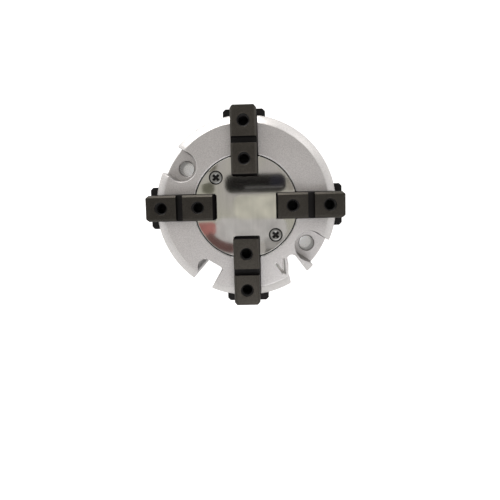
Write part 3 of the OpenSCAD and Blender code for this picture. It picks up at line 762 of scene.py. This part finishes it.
# Painted shade: jaws 1 and 3 get a darker copy of the jaws' steel
shaded_jaw_steel = black_steel("black_steel_painted_shade", 0.76)
for i in JAWS:
    block = broken_edges(f"jaw_{i}", f"jaw_block_{i}", f"jaw_{i}", JAW_EDGE)
    dress(block, "black_steel", shaded_jaw_steel if i % 2 else None)

screw_look = plate_screw_steel()
screw_reach = (SCREW_BOX[1].x - SCREW_BOX[0].x) / 2 - SCREW_HEAD_RADIUS
for number, side in enumerate((-1, 1), 1):
    centre = Vector((side * screw_reach, -side * screw_reach, SCREW_TOP))
    made_screw = plate_screw(f"plate_screw_{number}", centre, screw_look)
    if number == 1:
        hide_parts("plate_screws")

# Painted shade: the jaws' tool threads are coloured near black, far darker than the jaws' steel
shaded_thread_look = grained_metal("tool_thread_shaded_steel", (0.012, 0.011, 0.011), 3600, 0.4, 0.6)
for i in JAWS:
    middle = Vector(MOUNTS[f"jaw_{i}_tool_holes"]["pos_m"])
    outwards = Vector((middle.x, middle.y, 0)).normalized()
    for letter, side in (("a", -1), ("b", 1)):
        mouth = middle + outwards * TOOL_HOLE_HALF_PITCH * side
        thread(f"tool_thread_{i}{letter}", f"jaw_{i}", "black_steel", mouth, (0, 0, 1), TOOL_THREAD,
               shaded_thread_look)

for port in ("closing_air_port", "opening_air_port"):
    mount = MOUNTS[port]
    thread(port + "_thread", "body", "bead_blasted_aluminium", mount["pos_m"], mount["axis"], PORT_THREAD)

thread("cap_thread", "body", "turned_aluminium", (0, 0, CAP_FOOT + CAP_DISH_DEPTH), (0, 0, -1), CAP_THREAD)


# ---- Studio ----

def floor():
    """A pale floor that keeps the shadow, lifted towards white for the camera and in shiny metal."""
    bpy.ops.mesh.primitive_plane_add(size=FLOOR_SIZE, location=(0, 0, FLOOR_LEVEL))
    plane = added("floor")
    made, tree, shader = finish("floor_paint", 0.0, 0.9, (0.8, 0.8, 0.8))
    tone = tinted(tree, noise(tree, place(tree), 40, 3), WHITE, 0.79, 0.81)
    tree.links.new(tone, shader.inputs["Base Color"])
    seen = tree.nodes.new("ShaderNodeLightPath").outputs
    shown = maths(tree, "MULTIPLY_ADD", seen["Is Glossy Ray"], FLOOR_GLOSS, seen["Is Camera Ray"])
    glow = tree.nodes.new("ShaderNodeEmission")
    glow.inputs["Color"].default_value = (*WHITE, 1)
    tree.links.new(maths(tree, "MULTIPLY", shown, FLOOR_LIFT), glow.inputs["Strength"])
    both = tree.nodes.new("ShaderNodeAddShader")
    tree.links.new(shader.outputs[0], both.inputs[0])
    tree.links.new(glow.outputs[0], both.inputs[1])
    tree.links.new(both.outputs[0], tree.nodes["Material Output"].inputs["Surface"])
    plane.data.materials.append(made)


def sky():
    """A soft room, brightest just over the horizon, dark at -X, and white where the camera sees it."""
    world = bpy.data.worlds.new("room")
    bpy.context.scene.world = world
    world.use_nodes = True
    tree = world.node_tree
    light = tree.nodes["Background"]
    light.inputs["Strength"].default_value = ROOM_STRENGTH
    direction = tree.nodes.new("ShaderNodeTexCoord").outputs["Generated"]
    parts = axes(tree, direction)
    tones = ramp(tree, parts["Z"], ROOM_TONES)
    wall = tinted(tree, rescaled(tree, parts["X"], *WALL_FADE), WHITE, 0.1, 1, 0, 1)
    patches = ramp(tree, noise(tree, direction, 7, 2), [(0.4, (1.0, 1.01, 0.93)), (0.6, (1.0, 0.98, 1.03))])
    tree.links.new(times(tree, times(tree, tones, wall), patches), light.inputs["Color"])
    white = tree.nodes.new("ShaderNodeBackground")
    white.inputs["Color"].default_value = (*WHITE, 1)
    either = tree.nodes.new("ShaderNodeMixShader")
    tree.links.new(tree.nodes.new("ShaderNodeLightPath").outputs["Is Camera Ray"], either.inputs["Fac"])
    tree.links.new(light.outputs[0], either.inputs[1])
    tree.links.new(white.outputs[0], either.inputs[2])
    tree.links.new(either.outputs[0], tree.nodes["World Output"].inputs["Surface"])


def lamp(name, stand, size, watts, colour):
    """A square soft light that faces the middle of the gripper's top."""
    data = bpy.data.lights.new(name, "AREA")
    data.shape = "SQUARE"
    data.size = size
    data.energy = watts
    data.color = colour
    light = bpy.data.objects.new(name, data)
    bpy.context.scene.collection.objects.link(light)
    light.location = stand
    aim = Vector((0, 0, HOUSING_TOP)) - Vector(stand)
    light.rotation_euler = aim.to_track_quat("-Z", "Y").to_euler()


def show_in_gloss_only(piece, colour):
    """A dull card over the gripper that only polished metal shows."""
    made, tree, shader = finish(piece.name + "_paint", 0.0, 0.9, colour)
    shader.inputs["Specular IOR Level"].default_value = 0
    tone = tinted(tree, noise(tree, place(tree), 90, 3), colour, 0.7, 1, 0.35, 0.65)
    tree.links.new(tone, shader.inputs["Base Color"])
    piece.data.materials.append(made)
    piece.visible_camera = False
    piece.visible_diffuse = False
    piece.visible_shadow = False
    piece.visible_transmission = False


def rounded_card(name, middle, size, corner, colour):
    bpy.ops.mesh.primitive_plane_add(size=1, location=middle)
    card = added(name)
    card.scale = (*size, 1)
    settle(card)
    start_edit(card)
    bpy.ops.mesh.bevel(offset=corner, segments=CARD_CORNER_STEPS, affect="VERTICES")
    end_edit()
    show_in_gloss_only(card, colour)


def curved_card(name, middle, radius, width, start, sweep, colour):
    """A band of an arc: an edge spun about the arc's middle."""
    bpy.ops.mesh.primitive_plane_add(size=width, location=middle)
    band = added(name)
    start_edit(band)
    bpy.ops.mesh.delete(type="ONLY_FACE")
    end_edit()
    for vertex, side in zip(band.data.vertices, (-1, 1, -1, 1)):
        vertex.co = (radius + side * width / 2, 0, 0)
    settle(band)
    start_edit(band)
    bpy.ops.mesh.remove_doubles(threshold=MERGE_DISTANCE)
    end_edit()
    turn = Matrix.Rotation(start, 4, "Z")
    for vertex in band.data.vertices:
        vertex.co = Vector(middle) + turn @ (vertex.co - Vector(middle))
    start_edit(band)
    bpy.ops.mesh.spin(steps=CARD_CURVE_STEPS, angle=sweep, center=middle, axis=(0, 0, 1))
    end_edit()
    show_in_gloss_only(band, colour)


def camera():
    data = bpy.data.cameras.new("camera")
    data.sensor_width = CAMERA_SENSOR
    data.lens = CAMERA_LENS
    data.clip_start = CAMERA_CLIP_START
    view = bpy.data.objects.new("camera", data)
    bpy.context.scene.collection.objects.link(view)
    x, y, z = (math.radians(angle) for angle in CAMERA_TILT)
    turn = Matrix.Rotation(x, 4, "X") @ Matrix.Rotation(y, 4, "Y") @ Matrix.Rotation(z, 4, "Z")
    stand = Vector((0, 0, HOUSING_TOP)) + CAMERA_OFFSET
    view.matrix_world = Matrix.Translation(stand) @ turn.inverted()
    bpy.context.scene.camera = view


floor()
sky()
for lamp_settings in LAMPS:
    lamp(*lamp_settings)
for card_name, (x, y, drop), (width, length), corner, card_colour in ROUNDED_CARDS:
    card_middle = (x * MM, y * MM, CARD_LEVEL - drop * MM)
    rounded_card(card_name, card_middle, (width * MM, length * MM), corner * MM, card_colour)
curved_card("brown_card", BROWN_CARD_MIDDLE, BROWN_CARD_RADIUS, BROWN_CARD_WIDTH, BROWN_CARD_START,
            BROWN_CARD_SWEEP, BROWN_CARD_COLOUR)
camera()
bpy.context.scene.view_settings.view_transform = "Standard"
